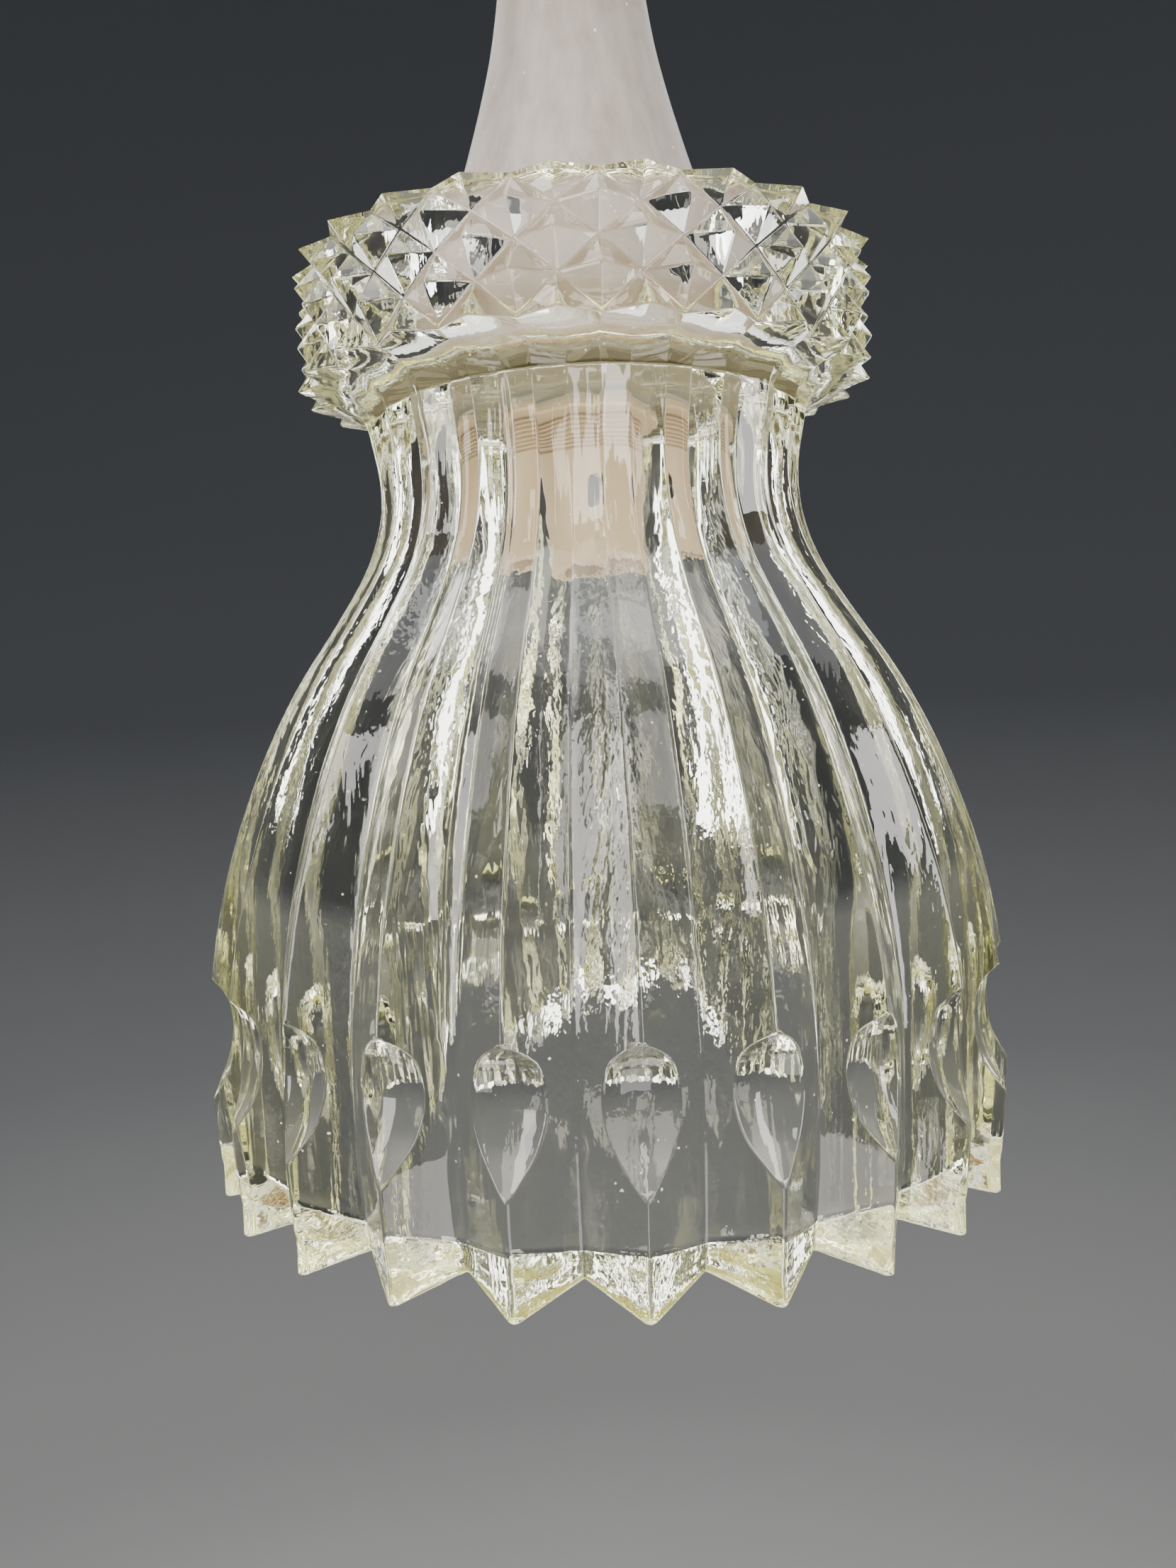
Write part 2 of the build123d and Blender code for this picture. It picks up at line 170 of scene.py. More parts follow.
def finish_piece(bm, name, material, body, node):
    """Makes the object, smooth shaded, in place of its CAD node."""
    bmesh.ops.recalc_face_normals(bm, faces=bm.faces)
    mesh = bpy.data.meshes.new(name)
    bm.to_mesh(mesh)
    bm.free()
    mesh.shade_smooth()
    piece = bpy.data.objects.new(name, mesh)
    bpy.context.scene.collection.objects.link(piece)
    mesh.materials.append(material)
    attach(piece, body)
    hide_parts(node)
    return piece


# ---- Glass shade --------------------------------------------------------------------------------
def crest_radius(height):
    return smooth_curve(CREST_CURVE, height)


def valley_radius(height):
    return crest_radius(height) - by_height(RIB_DEPTH, height)


def inner_radius(height):
    return valley_radius(height) - by_height(WALL, height)


def facet_radius(offset, height):
    """Radius of the flat rib facet at an angle from its crest, with crest and valley slightly rounded."""
    turn = math.hypot(offset, CREST_ROUNDING)
    turn = HALF_STEP - math.hypot(HALF_STEP - turn, VALLEY_ROUNDING)
    crest, valley = crest_radius(height), valley_radius(height)
    step = math.radians(HALF_STEP)
    a = math.radians(turn)
    return crest * valley * math.sin(step) / (crest * math.sin(a) + valley * math.sin(step - a))


def spoon_radius(offset, height):
    """Radius of the thumb cut's floor, or a large number beside it."""
    if height <= SPOON_CURVE[0][0] or height >= SPOON_CURVE[-1][0]:
        return 1000.0
    bowl = smooth_curve(SPOON_CURVE, height)
    aside = SPOON_AXIS * math.sin(math.radians(offset))
    if bowl <= aside:
        return 1000.0
    return SPOON_AXIS * math.cos(math.radians(offset)) - math.sqrt(bowl * bowl - aside * aside)


def spoon_edge(height):
    """Half the thumb cut's width at a height, in degrees."""
    if spoon_radius(0.0, height) >= facet_radius(0.0, height):
        return NARROWEST_SPOON
    low, high = 0.0, HALF_STEP
    for _ in range(30):
        middle = (low + high) / 2
        if spoon_radius(middle, height) < facet_radius(middle, height):
            low = middle
        else:
            high = middle
    return max(low, NARROWEST_SPOON)


# Where a half rib's columns lie, as shares of the way from crest to cut's edge, then edge to valley
INSIDE_SPOON = [0.0, 0.22, 0.45, 0.68, 0.88, 1.0]
BESIDE_SPOON = [0.035, 0.25, 0.5, 0.75, 0.95, 1.0]


def half_rib_offsets(height):
    """Angles from a crest to the next valley; one of them follows the thumb cut's edge."""
    edge = spoon_edge(height)
    offsets = [edge * share for share in INSIDE_SPOON]
    offsets += [mix(edge, HALF_STEP, share) for share in BESIDE_SPOON]
    return offsets


def rib_columns(height):
    """(azimuth, angle from the nearest crest) of every column at a height."""
    half = half_rib_offsets(height)
    columns = []
    for rib in range(RIBS):
        for offset in half:
            columns.append((rib * RIB_STEP + offset, offset))
        for offset in reversed(half[1:-1]):
            columns.append(((rib + 1) * RIB_STEP - offset, offset))
    return columns


SEAM_AZIMUTHS = (337.5, 217.5, 97.5)    # the mould's seams, each in a valley
SEAM_HEIGHT = 0.3


def wave(azimuth, height, across, along, seed):
    """Smooth noise on the wall, with wavelengths in millimetres round and along it."""
    angle = math.radians(azimuth)
    reach = 80.0 / across
    return noise.noise(Vector((math.cos(angle) * reach + seed, math.sin(angle) * reach, height / along)))


def outer_radius(azimuth, offset, height):
    facet = facet_radius(offset, height)
    spoon = spoon_radius(offset, height)
    radius = min(facet, spoon)
    radius += 0.07 * wave(azimuth, height, 9.0, 16.0, 3.0)
    if offset == HALF_STEP and any(abs(azimuth - seam) < 0.1 for seam in SEAM_AZIMUTHS):
        radius += SEAM_HEIGHT
    return radius


def outer_row(bm, height):
    return ring(bm, [at(outer_radius(az, off, height), az, height) for az, off in rib_columns(height)])


def notch_level(radius, offset):
    """Height of the rim's underside at an angle from a tooth's tip."""
    half_pitch = CREST_CURVE[0][1] * math.radians(HALF_STEP)
    aside = radius * math.sin(math.radians(HALF_STEP - offset))
    share = min(aside / (half_pitch - TOOTH_FLAT / 2), 1.0)
    return -mix(NOTCH_HEIGHT, TOOTH_HEIGHT, share)


def teeth(bm, previous):
    """The outer faces of the teeth, their underside and the bevel inside them."""
    columns = rib_columns(0.0)
    edge_softness = 0.25
    bottoms = []
    for az, off in columns:
        radius = outer_radius(az, off, -NOTCH_HEIGHT)
        bottoms.append((radius, notch_level(radius, off)))
    for share in (0.2, 0.45, 0.7, 0.9):
        row = ring(bm, [at(r, az, share * b) for (az, _), (r, b) in zip(columns, bottoms)])
        bridge(bm, previous, row)
        previous = row
    slope = (BEVEL_RADII[1] - BEVEL_RADII[0]) / TOOTH_HEIGHT
    inner = [min(BEVEL_RADII[0] - b * slope, r - 0.6) for r, b in bottoms]
    rows = [
        [(r, b + edge_softness) for r, b in bottoms],
        [(r - edge_softness, b) for r, b in bottoms],
        [(n + edge_softness * 0.7, b) for n, (r, b) in zip(inner, bottoms)],
        [(n - edge_softness * 0.5, b + edge_softness * 0.5) for n, (r, b) in zip(inner, bottoms)],
    ]
    for points in rows:
        row = ring(bm, [at(r, az, z) for (az, _), (r, z) in zip(columns, points)])
        bridge(bm, previous, row)
        previous = row
    for share in (0.66, 0.33, 0.06):
        points = [(mix(BEVEL_RADII[0], n, share), b * share) for n, (r, b) in zip(inner, bottoms)]
        row = ring(bm, [at(r, az, z) for (az, _), (r, z) in zip(columns, points)])
        bridge(bm, previous, row)
        previous = row
    return previous


INNER_COLUMNS = 288


def inner_row(bm, radius, height, waviness):
    points = []
    for k in range(INNER_COLUMNS):
        az = 360.0 * k / INNER_COLUMNS
        ripple = waviness * (wave(az, height, 13.0, 34.0, 11.0) + 0.5 * wave(az, height, 6.0, 14.0, 23.0))
        points.append(at(radius + ripple, az, height))
    return ring(bm, points)


def band_patch(bm):
    """Rows of pyramids with softened edges. Returns the patch's upper and lower rings."""
    rows = []
    for level, height in enumerate(BAND_LEVELS):
        shift = 0.5 if level % 2 == 0 else 0.0
        grooves = [bm.verts.new(at(BAND_GROOVE, (k + 0.5 - shift) * RIB_STEP, height)) for k in range(RIBS)]
        peaks = [bm.verts.new(at(BAND_PEAK, (k + 1 - shift) * RIB_STEP, height)) for k in range(RIBS)]
        rows.append((grooves, peaks, shift))
    last = len(rows) - 1

    def groove_at(level, step):
        grooves, _, shift = rows[level]
        return grooves[int(round(step - 0.5 + shift)) % RIBS]

    for level, (_, peaks, shift) in enumerate(rows):
        for k in range(RIBS):
            step = k + 1 - shift
            left, right = groove_at(level, step - 0.5), groove_at(level, step + 0.5)
            if level > 0:
                above = groove_at(level - 1, step)
                bm.faces.new((peaks[k], above, left))
                bm.faces.new((peaks[k], right, above))
            if level < last:
                below = groove_at(level + 1, step)
                bm.faces.new((peaks[k], left, below))
                bm.faces.new((peaks[k], below, right))
    inside_edges = [edge for edge in bm.edges if len(edge.link_faces) == 2]
    bmesh.ops.bevel(bm, geom=inside_edges, offset=0.4 * MM, segments=2, profile=0.6, affect="EDGES",
                    clamp_overlap=True)
    border = {vert for edge in bm.edges if len(edge.link_faces) == 1 for vert in edge.verts}
    middle = RIM_LEVEL + BAND_LEVELS[2] * MM
    upper = [vert for vert in border if vert.co.z > middle]
    lower = [vert for vert in border if vert.co.z <= middle]
    return upper, lower


# height, radius on a rib's crest and in a valley, from the band down to the neck
UNDERSIDE = [(157.1, 56.2, 60.6), (156.2, 53.4, 55.5), (155.0, 50.6, 49.8), (153.4, 48.6, 46.4),
             (151.7, 47.7, 45.0)]
RIBS_TOP = 150.0


def underside_row(bm, height, crest, valley):
    """A ring between the band and the neck, star shaped like the ribs below it."""
    points = []
    for az, off in rib_columns(RIBS_TOP):
        points.append(at(mix(crest, valley, off / HALF_STEP), az, height))
    return ring(bm, points)


def stretch(start, end, step):
    """Heights from start to end in even steps of about that size, both ends included."""
    count = max(1, round(abs(end - start) / step))
    return [mix(start, end, k / count) for k in range(count + 1)]


def build_glass(material):
    bm = bmesh.new()
    upper, lower = band_patch(bm)

    previous = underside_row(bm, *UNDERSIDE[0])
    zip_rings(bm, lower, previous)
    for level in UNDERSIDE[1:]:
        row = underside_row(bm, *level)
        bridge(bm, previous, row)
        previous = row
    heights = stretch(RIBS_TOP, 44.0, 2.0) + stretch(43.0, 38.5, 0.9) + stretch(38.0, 33.0, 0.42)
    heights += stretch(32.0, 16.0, 1.0) + stretch(15.4, 11.2, 0.45) + stretch(10.2, 0.0, 1.7)
    for height in heights:
        row = outer_row(bm, height)
        bridge(bm, previous, row)
        previous = row
    previous = teeth(bm, previous)

    wall_heights = stretch(1.0, 140.0, 2.4)
    first_row = inner_row(bm, BEVEL_RADII[0] - 0.06, 0.25, 0.0)
    zip_rings(bm, previous, first_row)
    previous = first_row
    for height in wall_heights:
        row = inner_row(bm, min(inner_radius(height), BEVEL_RADII[0]), height, 0.16)
        bridge(bm, previous, row)
        previous = row
    floor, top = DIAPHRAGM
    profile = [
        (CEILING_RADIUS, 148.0), (CEILING_RADIUS, floor - 1.2), (CEILING_RADIUS - 0.4, floor - 0.4),
        (CEILING_RADIUS - 1.2, floor), (34.0, floor), (HOLDER_HOLE + 0.5, floor), (HOLDER_HOLE, floor + 0.5),
        (HOLDER_HOLE, top - 0.5), (HOLDER_HOLE + 0.5, top), (36.0, top), (44.0, top), (47.6, 161.2),
        (49.4, 163.4), (50.1, 166.5), (50.6, 171.5), (51.1, 176.0), (51.5, 179.6), (51.9, 180.3),
        (52.4, 180.7), (54.5, BAND_LEVELS[0]),
    ]
    for radius, height in profile:
        row = inner_row(bm, radius, height, 0.05)
        bridge(bm, previous, row)
        previous = row
    zip_rings(bm, upper, previous)
    return finish_piece(bm, "shade_glass", material, "shade", "glass_shade")


# ---- Cover --------------------------------------------------------------------------------------
def build_cover(material):
    bm = bmesh.new()
    foot, top = COVER_CURVE[0][0], COVER_CURVE[-1][0]
    outside = [(smooth_curve(COVER_CURVE, h), h) for h in stretch(foot + 0.5, top - 0.5, 2.0)]
    inside = [(r - COVER_WALL, h) for r, h in reversed(outside)]
    top_edge = [(COVER_CURVE[-1][1] - 0.35, top), (COVER_CURVE[-1][1] - COVER_WALL + 0.35, top)]
    foot_edge = [(HEM_RADIUS + 0.25, foot + HEM_HEIGHT), (HEM_RADIUS, foot + HEM_HEIGHT - 0.25),
                 (HEM_RADIUS, foot + 0.25), (HEM_RADIUS + 0.25, foot), (COVER_CURVE[0][1] - 0.35, foot)]
    inside = [row for row in inside if row[1] > foot + HEM_HEIGHT]
    outline = outside + top_edge + inside + foot_edge
    rows = [circle(bm, radius, height, COVER_SIDES) for radius, height in outline]
    for a, b in zip(rows, rows[1:] + rows[:1]):
        bridge(bm, b, a)
    return finish_piece(bm, "cover_shell", material, "cover", "canopy_cover")


# ---- Materials ----------------------------------------------------------------------------------
MIX_FIRST, MIX_SECOND, MIX_RESULT = 6, 7, 2    # the colour sockets of a mix node


class Nodes:
    """Short calls for building a node material."""

    def __init__(self, name):
        self.material = bpy.data.materials.new(name)
        self.material.use_nodes = True
        self.tree = self.material.node_tree
        self.tree.nodes.clear()
        self.output = self.add("ShaderNodeOutputMaterial")

    def add(self, kind, **values):
        node = self.tree.nodes.new(kind)
        for key, value in values.items():
            if hasattr(node, key):
                setattr(node, key, value)
            else:
                node.inputs[key.replace("_", " ")].default_value = value
        return node

    def link(self, source, target):
        self.tree.links.new(source, target)

    def coords(self, scale):
        """Object coordinates, stretched by scale."""
        place = self.add("ShaderNodeTexCoord")
        mapping = self.add("ShaderNodeMapping")
        mapping.inputs["Scale"].default_value = scale
        self.link(place.outputs["Object"], mapping.inputs["Vector"])
        return mapping.outputs["Vector"]

    def noise(self, scale, stretch_by=(1, 1, 1), detail=3.0, rough=0.5, distortion=0.0):
        node = self.add("ShaderNodeTexNoise")
        node.inputs["Scale"].default_value = scale
        node.inputs["Detail"].default_value = detail
        node.inputs["Roughness"].default_value = rough
        node.inputs["Distortion"].default_value = distortion
        self.link(self.coords(stretch_by), node.inputs["Vector"])
        return node.outputs["Fac"]

    def ramp(self, source, stops):
        node = self.add("ShaderNodeValToRGB")
        while len(node.color_ramp.elements) < len(stops):
            node.color_ramp.elements.new(0.5)
        for element, (place, colour) in zip(node.color_ramp.elements, stops):
            element.position = place
            element.color = (*colour, 1.0)
        self.link(source, node.inputs["Fac"])
        return node.outputs["Color"]

    def ranged(self, source, low, high, to_low, to_high):
        node = self.add("ShaderNodeMapRange")
        node.inputs["From Min"].default_value = low
        node.inputs["From Max"].default_value = high
        node.inputs["To Min"].default_value = to_low
        node.inputs["To Max"].default_value = to_high
        self.link(source, node.inputs["Value"])
        return node.outputs["Result"]

    def math(self, operation, a, b):
        node = self.add("ShaderNodeMath", operation=operation)
        for socket, value in zip(node.inputs, (a, b)):
            if hasattr(value, "is_linked"):
                self.link(value, socket)
            else:
                socket.default_value = value
        return node.outputs["Value"]

    def bump(self, height, distance, strength=1.0, under=None):
        node = self.add("ShaderNodeBump")
        node.inputs["Strength"].default_value = strength
        node.inputs["Distance"].default_value = distance
        self.link(height, node.inputs["Height"])
        if under is not None:
            self.link(under, node.inputs["Normal"])
        return node.outputs["Normal"]

    def principled(self, **values):
        node = self.add("ShaderNodeBsdfPrincipled")
        for key, value in values.items():
            node.inputs[key.replace("_", " ")].default_value = value
        return node

    def surface(self, shader):
        self.link(shader, self.output.inputs["Surface"])


def glass_material():
    n = Nodes("pressed_glass")
    shader = n.principled(Base_Color=(0.985, 0.985, 0.965, 1), IOR=1.51, Transmission_Weight=1.0)
    bloom = n.noise(38.0, (1, 1, 0.45), 4.0, 0.6)
    n.link(n.ranged(bloom, 0.42, 0.72, 0.008, 0.075), shader.inputs["Roughness"])
    peel_patch = n.ranged(n.noise(22.0, (1, 1, 0.35), 2.0), 0.42, 0.66, 0.0, 1.0)
    peel = n.math("MULTIPLY", n.noise(620.0, (1, 1, 0.55), 2.0, 0.55), peel_patch)
    streaks = n.noise(150.0, (1, 1, 0.06), 3.0, 0.55, 0.4)
    rough_normal = n.bump(peel, 0.0001, 1.0)
    n.link(n.bump(streaks, 0.0002, 1.0, rough_normal), shader.inputs["Normal"])

    dust = n.add("ShaderNodeTexVoronoi")
    dust.inputs["Scale"].default_value = 420.0
    n.link(n.coords((1, 1, 1)), dust.inputs["Vector"])
    rare = n.noise(260.0, (1, 1, 1), 1.0)
    speck = n.math("MULTIPLY", n.ranged(dust.outputs["Distance"], 0.07, 0.12, 1.0, 0.0),
                   n.ranged(rare, 0.60, 0.64, 0.0, 1.0))
    dust_shader = n.principled(Base_Color=(0.86, 0.85, 0.80, 1), Roughness=0.8)
    dusty = n.add("ShaderNodeMixShader")
    n.link(n.math("MULTIPLY", speck, 0.8), dusty.inputs["Fac"])
    n.link(shader.outputs["BSDF"], dusty.inputs[1])
    n.link(dust_shader.outputs["BSDF"], dusty.inputs[2])

    passing = n.add("ShaderNodeBsdfTransparent")
    passing.inputs["Color"].default_value = (0.76, 0.75, 0.70, 1)
    path = n.add("ShaderNodeLightPath")
    lit_through = n.add("ShaderNodeMixShader")
    n.link(path.outputs["Is Shadow Ray"], lit_through.inputs["Fac"])
    n.link(dusty.outputs["Shader"], lit_through.inputs[1])
    n.link(passing.outputs["BSDF"], lit_through.inputs[2])
    n.surface(lit_through.outputs["Shader"])

    tint = n.add("ShaderNodeVolumeAbsorption")
    tint.inputs["Color"].default_value = (0.91, 0.91, 0.52, 1)
    tint.inputs["Density"].default_value = 15.0
    n.link(tint.outputs["Volume"], n.output.inputs["Volume"])
    return n.material


def cover_material():
    n = Nodes("cover_paint")
    streaks = n.noise(260.0, (1, 1, 0.04), 4.0, 0.6)
    patches = n.noise(16.0, (1, 1, 0.6), 3.0)
    tone = n.math("ADD", n.math("MULTIPLY", streaks, 0.6), n.math("MULTIPLY", patches, 0.4))
    base = n.ramp(tone, [(0.38, (0.30, 0.253, 0.216)), (0.62, (0.42, 0.365, 0.318))])
    specks = n.add("ShaderNodeTexVoronoi")
    specks.inputs["Scale"].default_value = 300.0
    n.link(n.coords((1, 1, 1)), specks.inputs["Vector"])
    speck = n.math("MULTIPLY", n.ranged(specks.outputs["Distance"], 0.10, 0.16, 1.0, 0.0),
                   n.ranged(n.noise(190.0, (1, 1, 1), 1.0), 0.63, 0.66, 0.0, 1.0))
    mixed = n.add("ShaderNodeMix", data_type="RGBA")
    n.link(speck, mixed.inputs["Factor"])
    n.link(base, mixed.inputs[MIX_FIRST])
    mixed.inputs[MIX_SECOND].default_value = (0.82, 0.80, 0.76, 1)
    place = n.add("ShaderNodeTexCoord")
    parts = n.add("ShaderNodeSeparateXYZ")
    n.link(place.outputs["Object"], parts.inputs["Vector"])
    # Painted shade with dirt: low on the cover the colour is blended towards a dark brown that stands for the
    # dimmer light in the bowl and for dust at the foot
    foot, fade_top = RIM_LEVEL + COVER_CURVE[0][0] * MM, RIM_LEVEL + GRIME_AND_SHADE_TOP * MM
    clear_of_grime_and_shade = n.math("ADD", n.ranged(parts.outputs["Z"], foot, fade_top, -0.1, 1.0),
                       n.ranged(n.noise(140.0, (1, 1, 1), 4.0, 0.6), 0.3, 0.7, -0.3, 0.3))
    grime_and_shade_mix = n.add("ShaderNodeMix", data_type="RGBA")
    n.link(n.ranged(clear_of_grime_and_shade, 0.0, 1.0, 0.0, 1.0), grime_and_shade_mix.inputs["Factor"])
    # dark brown of dirt and painted shade at the foot
    grime_and_shade_mix.inputs[MIX_FIRST].default_value = (0.215, 0.165, 0.12, 1)
    n.link(mixed.outputs[MIX_RESULT], grime_and_shade_mix.inputs[MIX_SECOND])
    shader = n.principled(Specular_IOR_Level=0.5)
    n.link(grime_and_shade_mix.outputs[MIX_RESULT], shader.inputs["Base Color"])
    n.link(n.ranged(streaks, 0.3, 0.7, 0.36, 0.5), shader.inputs["Roughness"])
    n.link(n.bump(streaks, 0.00006), shader.inputs["Normal"])
    n.surface(shader.outputs["BSDF"])
    return n.material


def moulded_plastic(name, dark, light, roughness, grain=0.00004):
    n = Nodes(name)
    cloud = n.noise(60.0, (1, 1, 0.5), 4.0)
    shader = n.principled()
    n.link(n.ramp(cloud, [(0.35, dark), (0.65, light)]), shader.inputs["Base Color"])
    n.link(n.ranged(cloud, 0.3, 0.7, roughness - 0.06, roughness + 0.06), shader.inputs["Roughness"])
    n.link(n.bump(n.noise(1500.0), grain), shader.inputs["Normal"])
    n.surface(shader.outputs["BSDF"])
    return n.material


def metal(name, dark, light, roughness, along=(1, 1, 12)):
    n = Nodes(name)
    brushed = n.noise(300.0, along, 4.0, 0.6)
    tarnish = n.noise(120.0, (1, 1, 1), 4.0)
    shader = n.principled(Metallic=1.0)
    n.link(n.ramp(tarnish, [(0.35, dark), (0.65, light)]), shader.inputs["Base Color"])
    n.link(n.ranged(tarnish, 0.3, 0.7, roughness + 0.12, roughness - 0.04), shader.inputs["Roughness"])
    n.link(n.bump(brushed, 0.00003), shader.inputs["Normal"])
    n.surface(shader.outputs["BSDF"])
    return n.material


MATERIALS = {
    "beige_plastic": moulded_plastic("holder_cream", (0.43, 0.325, 0.215), (0.52, 0.41, 0.285), 0.42),
    "dark_plastic": moulded_plastic("latch_black", (0.012, 0.012, 0.012), (0.03, 0.03, 0.03), 0.5),
    "cover_bush_plastic": moulded_plastic("bush_grey", (0.42, 0.38, 0.35), (0.50, 0.46, 0.43), 0.5),
    "insert_ceramic": moulded_plastic("insert_ceramic", (0.74, 0.71, 0.64), (0.84, 0.82, 0.76), 0.3, 0.00008),
    "grip_plastic": moulded_plastic("grip_nylon", (0.74, 0.72, 0.65), (0.82, 0.80, 0.74), 0.45),
    "washer_rubber": moulded_plastic("washer_fibre", (0.40, 0.38, 0.35), (0.52, 0.50, 0.46), 0.85, 0.0001),
    "socket_brass": metal("rolled_brass", (0.52, 0.36, 0.13), (0.80, 0.62, 0.30), 0.28),
    "terminal_brass": metal("turned_brass", (0.58, 0.42, 0.18), (0.80, 0.63, 0.33), 0.3),
    "plated_steel": metal("zinc_plate", (0.48, 0.47, 0.45), (0.68, 0.67, 0.65), 0.32),
}


# Nodes that look different from the rest of their slot: the disc is painted paler, painted light on its
# shaded underside
NODE_MATERIALS = {
    "upper_disc": moulded_plastic("disc_cream_painted_light", (0.78, 0.75, 0.68), (0.84, 0.81, 0.75), 0.55),
}


def dress_cad_nodes():
    """Gives every CAD node that stays its own material, or else its slot's."""
    for subpart in frame["record"]["subparts"]:
        material = NODE_MATERIALS.get(subpart["node"], MATERIALS.get(subpart["material_slot"]))
        if material is not None:
            mesh = frame["nodes"][subpart["node"]].data
            mesh.materials.clear()
            mesh.materials.append(material)


# ---- Stage, light and camera --------------------------------------------------------------------
FLOOR_DROP = 1.5                  # the floor below the shade's rim, in metres
FLOOR_RADIUS = 2.4                # flat out to here, then it sweeps up into a low wall
SWEEP_RADIUS = 1.6
SWEEP_STEPS = 20
WALL_TOP = 3 * SWEEP_RADIUS       # the straight wall above the sweep, from the floor
FLOOR_SIDES = 96
GLASS_BOUNCES = 28                # light turns many times inside the teeth and pyramids

# name, place, width, height, watts, colour; all aim at the middle of the shade
SOFTBOXES = [
    ("window_left", (-1.05, -0.85, 0.25), 0.42, 1.3, 20, (1.0, 0.97, 0.93)),
    ("window_right", (0.95, -0.80, 0.10), 0.20, 1.1, 10, (1.0, 0.97, 0.94)),
    ("front_strip", (0.14, -1.25, 0.75), 0.16, 0.8, 5, (1.0, 0.97, 0.93)),
    ("low_front", (0.25, -1.15, -1.0), 0.9, 0.6, 9, (1.0, 0.96, 0.91)),
    ("under_glow", (0.05, -0.25, -1.25), 0.9, 0.9, 16, (1.0, 0.96, 0.90)),
    ("overhead", (-0.3, -0.2, 1.2), 0.9, 0.9, 12, (1.0, 0.98, 0.95)),
    ("back_left", (-0.9, 1.1, 0.3), 0.3, 1.0, 6, (1, 1, 1)),
    ("back_right", (0.95, 1.0, 0.2), 0.3, 1.0, 6, (1, 1, 1)),
]


def floor_material():
    """Pale on the flat, with painted shade darkening it up the sweep."""
    n = Nodes("pale_floor")
    shader = n.principled(Roughness=0.85)
    place = n.add("ShaderNodeTexCoord")
    parts = n.add("ShaderNodeSeparateXYZ")
    n.link(place.outputs["Object"], parts.inputs["Vector"])
    bottom = RIM_LEVEL - FLOOR_DROP
    # painted shade: the sweep is darkened with height, as the light falls off away from the floor
    up = n.ranged(parts.outputs["Z"], bottom, bottom + SWEEP_RADIUS, 0.0, 1.0)
    mottle = n.math("MULTIPLY", n.noise(3.0, (1, 1, 1), 4.0), 0.04)
    tone = n.math("ADD", up, mottle)
    n.link(n.ramp(tone, [(0.0, (0.62, 0.62, 0.61)), (0.35, (0.34, 0.35, 0.36)), (1.0, (0.13, 0.14, 0.155))]),
           shader.inputs["Base Color"])
    n.surface(shader.outputs["BSDF"])
    return n.material


def build_floor():
    """A round floor whose edge sweeps up all the way round, so that no horizon shows through the glass."""
    bm = bmesh.new()
    bottom = RIM_LEVEL - FLOOR_DROP
    count = FLOOR_SIDES
    previous = None
    centre = bm.verts.new((0, 0, bottom))
    outline = [(FLOOR_RADIUS * share, bottom) for share in (0.25, 0.5, 0.75, 1.0)]
    for k in range(1, SWEEP_STEPS + 1):
        turn = math.radians(90.0 * k / SWEEP_STEPS)
        outline.append((FLOOR_RADIUS + SWEEP_RADIUS * math.sin(turn),
                        bottom + SWEEP_RADIUS * (1 - math.cos(turn))))
    outline.append((FLOOR_RADIUS + SWEEP_RADIUS, bottom + WALL_TOP))
    for radius, level in outline:
        angles = [math.tau * k / count for k in range(count)]
        row = ring(bm, [(radius * math.cos(a), radius * math.sin(a), level) for a in angles])
        if previous is None:
            for k in range(count):
                bm.faces.new((centre, row[k], row[(k + 1) % count]))
        else:
            bridge(bm, previous, row)
        previous = row
    bmesh.ops.recalc_face_normals(bm, faces=bm.faces)
    mesh = bpy.data.meshes.new("floor")
    bm.to_mesh(mesh)
    bm.free()
    mesh.shade_smooth()
    floor = bpy.data.objects.new("floor", mesh)
    bpy.context.scene.collection.objects.link(floor)
    mesh.materials.append(floor_material())


def softbox(name, place, aim, width, height, power, colour=(1, 1, 1)):
    light = bpy.data.lights.new(name, "AREA")
    light.shape = "RECTANGLE"
    light.size, light.size_y = width, height
    light.energy = power
    light.color = colour
    lamp = bpy.data.objects.new(name, light)
    lamp.location = place
    lamp.rotation_euler = (Vector(aim) - Vector(place)).to_track_quat("-Z", "Y").to_euler()
    bpy.context.scene.collection.objects.link(lamp)


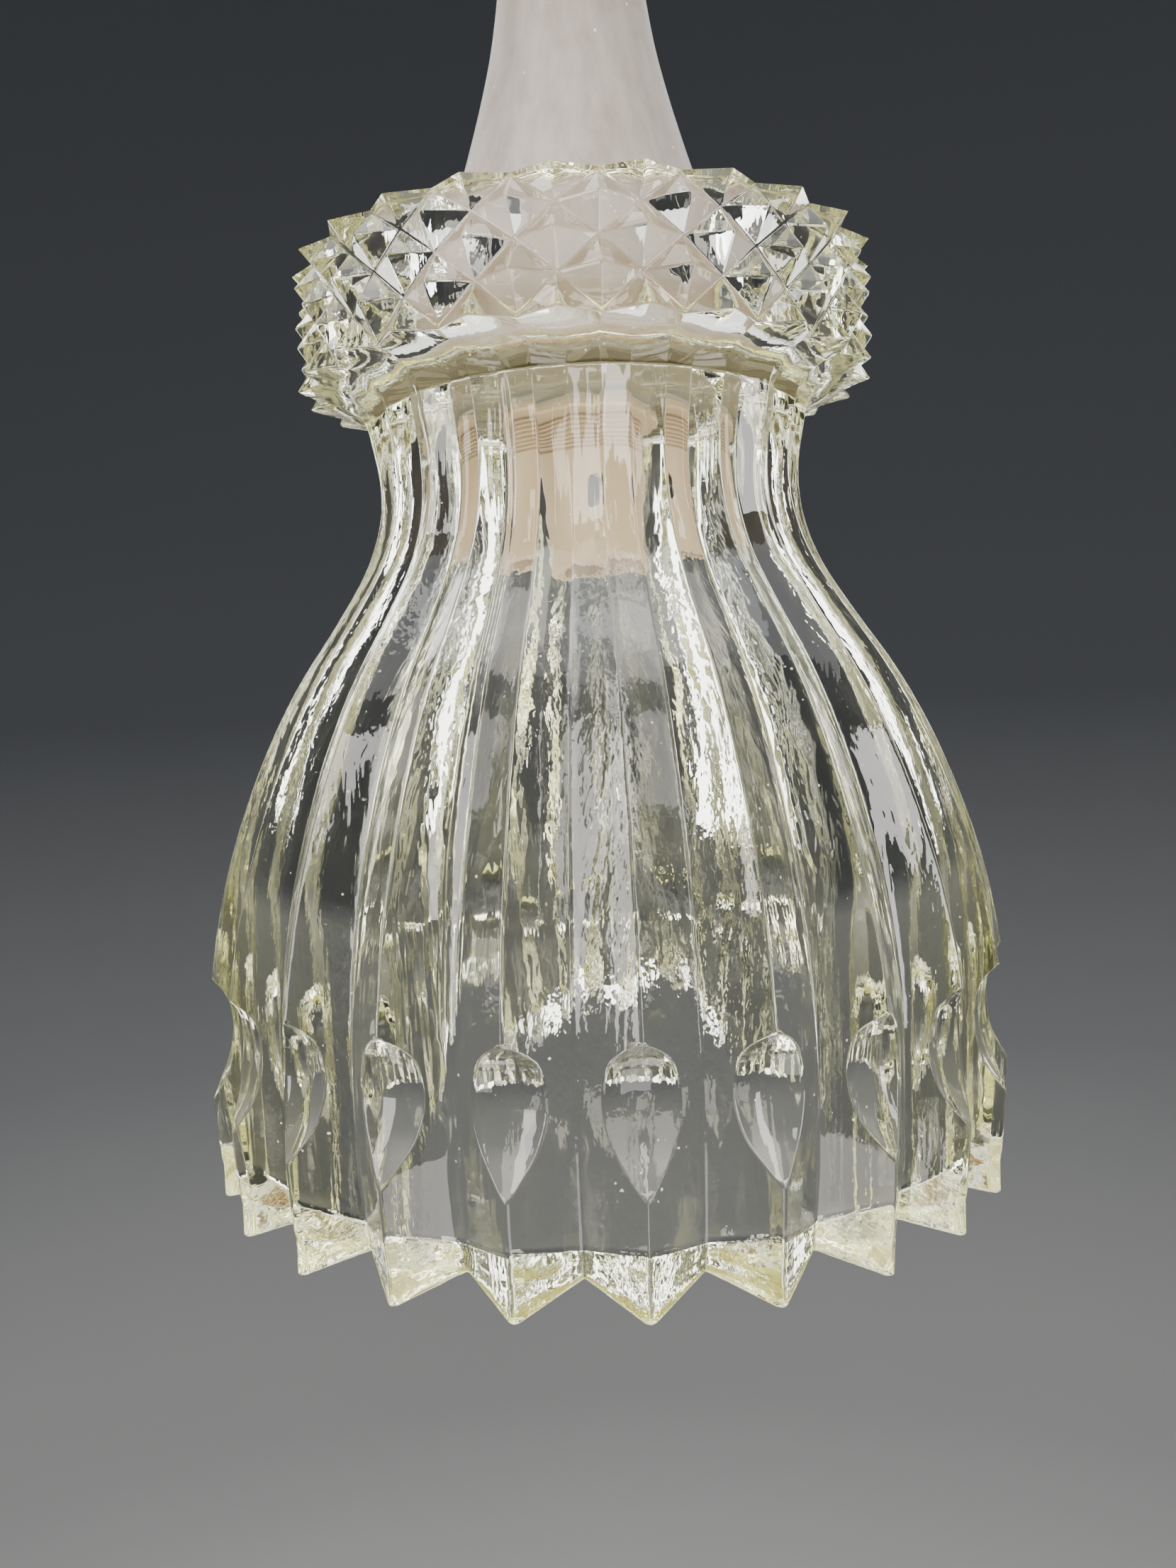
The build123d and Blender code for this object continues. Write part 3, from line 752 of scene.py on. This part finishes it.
def build_lights():
    centre = (0, 0, RIM_LEVEL + SHADE_MIDDLE * MM)
    for name, place, width, height, power, colour in SOFTBOXES:
        softbox(name, place, centre, width, height, power, colour)
    softbox("floor_wash", (0.0, 0.3, 0.9), (0, 0, RIM_LEVEL - FLOOR_DROP), 2.0, 2.0, 24)
    world = bpy.data.worlds.new("studio")
    world.use_nodes = True
    background = world.node_tree.nodes["Background"]
    background.inputs["Color"].default_value = (0.17, 0.18, 0.195, 1)
    background.inputs["Strength"].default_value = 1.0
    bpy.context.scene.world = world
    paths = bpy.context.scene.cycles
    paths.max_bounces = GLASS_BOUNCES
    paths.transmission_bounces = GLASS_BOUNCES
    paths.glossy_bounces = GLASS_BOUNCES
    paths.transparent_max_bounces = GLASS_BOUNCES


CAMERA_DISTANCE = 268.4           # millimetres from the axis
CAMERA_HEIGHT = 90.5              # above the rib ends
CAMERA_AZIMUTH = -3.4             # degrees to the left of the rib at the front
CAMERA_PITCH = -3.88
CAMERA_YAW = 0.56
CAMERA_ROLL = -2.15
CAMERA_LENS = 27.7
CAMERA_SENSOR = 36.0              # millimetres on the long side


def build_camera():
    yaw, pitch, roll = (math.radians(a) for a in (CAMERA_YAW, CAMERA_PITCH, CAMERA_ROLL))
    right = Vector((math.cos(yaw), math.sin(yaw), 0))
    ahead = Vector((-math.cos(pitch) * math.sin(yaw), math.cos(pitch) * math.cos(yaw), math.sin(pitch)))
    up = right.cross(ahead)
    tilted_right = right * math.cos(roll) + up * math.sin(roll)
    tilted_up = up * math.cos(roll) - right * math.sin(roll)
    swing = Matrix.Rotation(math.radians(CAMERA_AZIMUTH), 3, "Z")
    axes = Matrix((tilted_right, tilted_up, -ahead)).transposed()
    data = bpy.data.cameras.new("photo_view")
    data.sensor_width = CAMERA_SENSOR
    data.lens = CAMERA_LENS
    data.clip_start = 0.005
    camera = bpy.data.objects.new("photo_view", data)
    camera.matrix_world = (swing @ axes).to_4x4()
    camera.location = at(CAMERA_DISTANCE, CAMERA_AZIMUTH, CAMERA_HEIGHT)
    bpy.context.scene.collection.objects.link(camera)
    bpy.context.scene.camera = camera


# ---- Build --------------------------------------------------------------------------------------
build_glass(glass_material())
build_cover(cover_material())
dress_cad_nodes()
build_floor()
build_lights()
build_camera()
